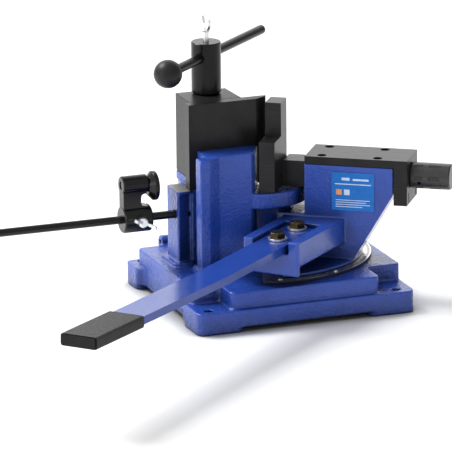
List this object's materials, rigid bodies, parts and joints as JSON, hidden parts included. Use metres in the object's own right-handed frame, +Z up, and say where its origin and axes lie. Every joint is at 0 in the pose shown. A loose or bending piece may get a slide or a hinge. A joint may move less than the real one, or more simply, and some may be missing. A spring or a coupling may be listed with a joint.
{
  "type": "bench-top metal bender",
  "caption": "Hand-lever metal bender: cast base with clamped former, swinging arm with adjustable jaw, and a length stop on a rod.",
  "frame": {"origin": "under the middle of the bounding box, on the plane the feet stand on", "axes": "+Z up along the pivot; +Y from the front of the base to its back; +X to the right seen from the front"},
  "size_m": [0.6208, 0.6234, 0.3466],
  "materials": {
    "blue_paint": "glossy hammered cast paint",
    "black_steel": "blackened machined steel",
    "dark_grip": "fine-textured moulded grip",
    "bright_steel": "bright turned steel",
    "yellow_zinc": "yellow zinc plated",
    "bronze_bush": "plain bearing metal",
    "white_scale": "white enamel with a dark rim",
    "blue_label": "printed film, blank"
  },
  "bodies": {
    "base": {"base_casting": "blue_paint", "former_plate": "black_steel", "former_screw_1": "bright_steel", "former_screw_2": "bright_steel", "king_pin": "bright_steel", "pin_set_screw": "black_steel", "thrust_washer": "bronze_bush", "scale_plate": "white_scale", "scale_rivet_1": "bright_steel", "scale_rivet_2": "bright_steel", "scale_rivet_3": "bright_steel", "rod_set_screw": "black_steel"},
    "arm": {"swing_arm": "blue_paint", "hub_bush_lower": "bronze_bush", "hub_bush_upper": "bronze_bush", "guide_cap": "black_steel", "cap_screw_1": "black_steel", "cap_screw_2": "black_steel", "cap_screw_3": "black_steel", "cap_screw_4": "black_steel", "label_plate": "blue_label", "lever_bar": "blue_paint", "lever_grip": "dark_grip", "lever_bolt_1": "yellow_zinc", "lever_bolt_2": "yellow_zinc", "lever_washer_1": "bright_steel", "lever_washer_2": "bright_steel"},
    "ram": {"ram_bar": "black_steel", "bending_jaw": "black_steel", "jaw_screw_1": "black_steel", "jaw_screw_2": "black_steel"},
    "adjuster": {"adjusting_spindle": "bright_steel", "thrust_collar": "bright_steel", "thimble": "black_steel", "thimble_set_screw": "black_steel"},
    "clamp_block": {"clamp_block": "black_steel"},
    "clamp_spindle": {"clamp_spindle": "black_steel"},
    "t_bar": {"t_bar": "black_steel", "ball_knob": "black_steel"},
    "hub_wing": {"hub_wing_screw": "bright_steel"},
    "stop_rod": {"stop_rod": "black_steel"},
    "stop_body": {"stop_body": "black_steel"},
    "stop_pin": {"stop_pin": "black_steel"},
    "stop_wing": {"stop_wing_screw": "bright_steel"}
  },
  "joints": [
    {"name": "arm_swing", "type": "hinge", "parent": "base", "child": "arm", "pos_m": [0.10122, 0.16471, 0.087], "axis": [0, 0, 1], "range_deg": [-2, 115]},
    {"name": "ram_slide", "type": "slide", "parent": "arm", "child": "ram", "axis": [0.8231, -0.5678, 0], "range_m": [-0.002, 0.028]},
    {"name": "adjuster_turn", "type": "hinge", "parent": "arm", "child": "adjuster", "pos_m": [0.26585, 0.05114, 0.161], "axis": [0.8231, -0.5678, 0], "range_deg": [-2530, 190]},
    {"name": "clamp_slide", "type": "slide", "parent": "base", "child": "clamp_block", "axis": [0, 1, 0], "range_m": [0, 0.008]},
    {"name": "clamp_turn", "type": "hinge", "parent": "base", "child": "clamp_spindle", "pos_m": [0.04722, 0.20421, 0.27], "axis": [0, 0, 1], "range_deg": [0, 90]},
    {"name": "t_bar_slide", "type": "slide", "parent": "clamp_spindle", "child": "t_bar", "axis": [0.7373, 0.6756, 0], "range_m": [-0.13, 0.064]},
    {"name": "hub_wing_turn", "type": "hinge", "parent": "clamp_spindle", "child": "hub_wing", "pos_m": [0.04722, 0.20421, 0.33], "axis": [0, 0, 1], "range_deg": [0, 360]},
    {"name": "rod_slide", "type": "slide", "parent": "base", "child": "stop_rod", "axis": [1, 0, 0], "range_m": [-0.03, 0.008]},
    {"name": "stop_slide", "type": "slide", "parent": "stop_rod", "child": "stop_body", "axis": [1, 0, 0], "range_m": [-0.2, 0.014]},
    {"name": "stop_pin_turn", "type": "hinge", "parent": "stop_body", "child": "stop_pin", "pos_m": [-0.05878, 0.16101, 0.156], "axis": [1, 0, 0], "range_deg": [-180, 180]},
    {"name": "stop_wing_turn", "type": "hinge", "parent": "stop_body", "child": "stop_wing", "pos_m": [-0.06128, 0.13471, 0.1125], "axis": [0, -1, 0], "range_deg": [0, 360]}
  ],
  "couplings": [
    {"joint": "adjuster_turn", "follows": "ram_slide", "rad_per_m": -1570.8},
    {"joint": "clamp_slide", "follows": "clamp_turn", "m_per_rad": 0.005093}
  ]
}
